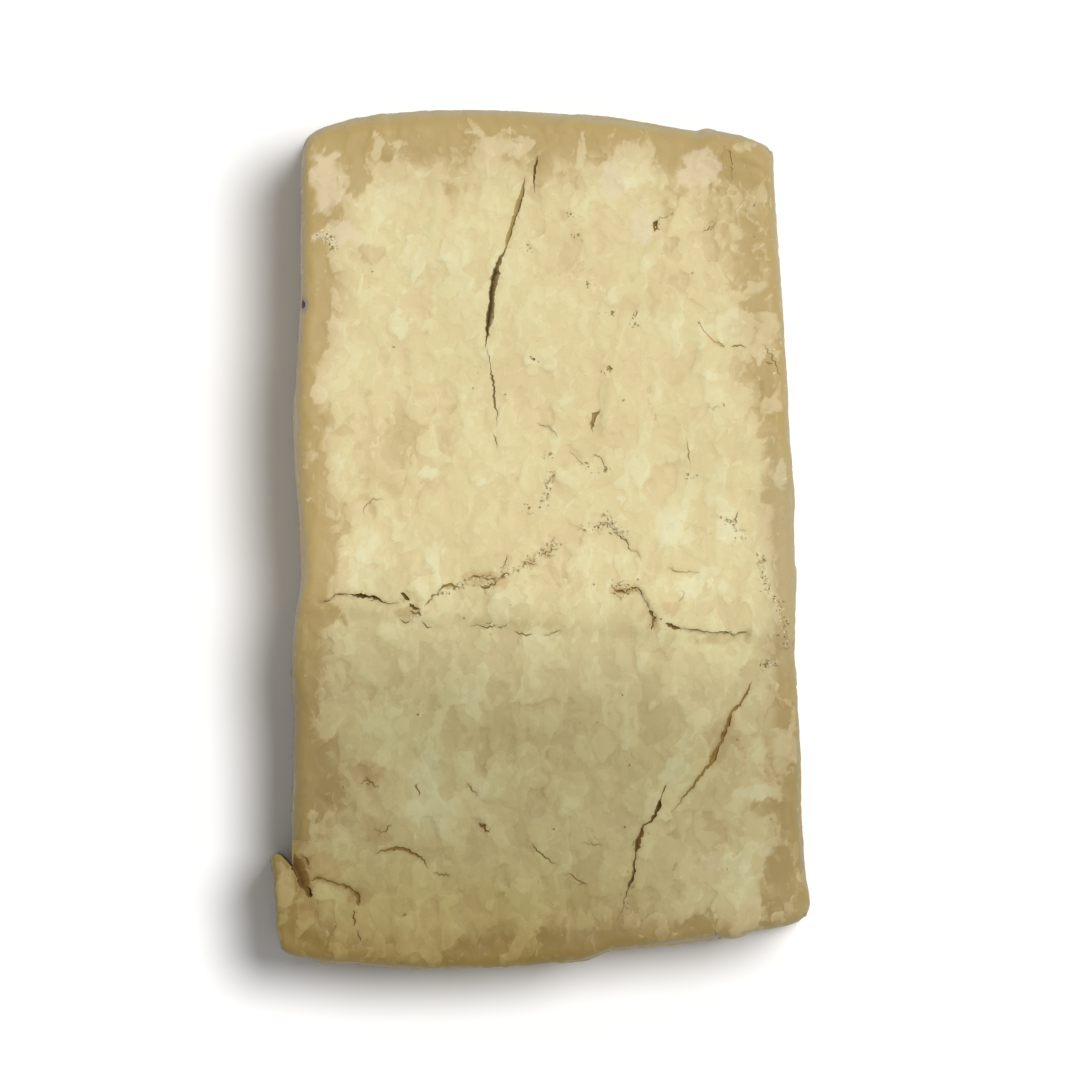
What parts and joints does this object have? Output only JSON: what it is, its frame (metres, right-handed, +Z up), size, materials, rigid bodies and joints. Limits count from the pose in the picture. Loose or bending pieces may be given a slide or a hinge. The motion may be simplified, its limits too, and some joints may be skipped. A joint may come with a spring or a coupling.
{
  "type": "cheddar chunk",
  "caption": "Thick block of mature cheddar with a crumbly, cracked upper face, soft browned edges, a split front corner and a flat cut base to lie on.",
  "frame": {"origin": "on the flat base, under the middle of the chunk's box", "axes": "+Z up through the broken face, +Y along the chunk from the split front corner to the crowned back end, +X across it to the right"},
  "size_m": [0.1084, 0.1725, 0.0462],
  "materials": {
    "cheese": "pale buttery cheddar, waxy on the pressed curds, dry and crumbly on the broken flakes, browner along the edges"
  },
  "bodies": {
    "root": {"cheddar_chunk": "cheese"}
  },
  "joints": []
}
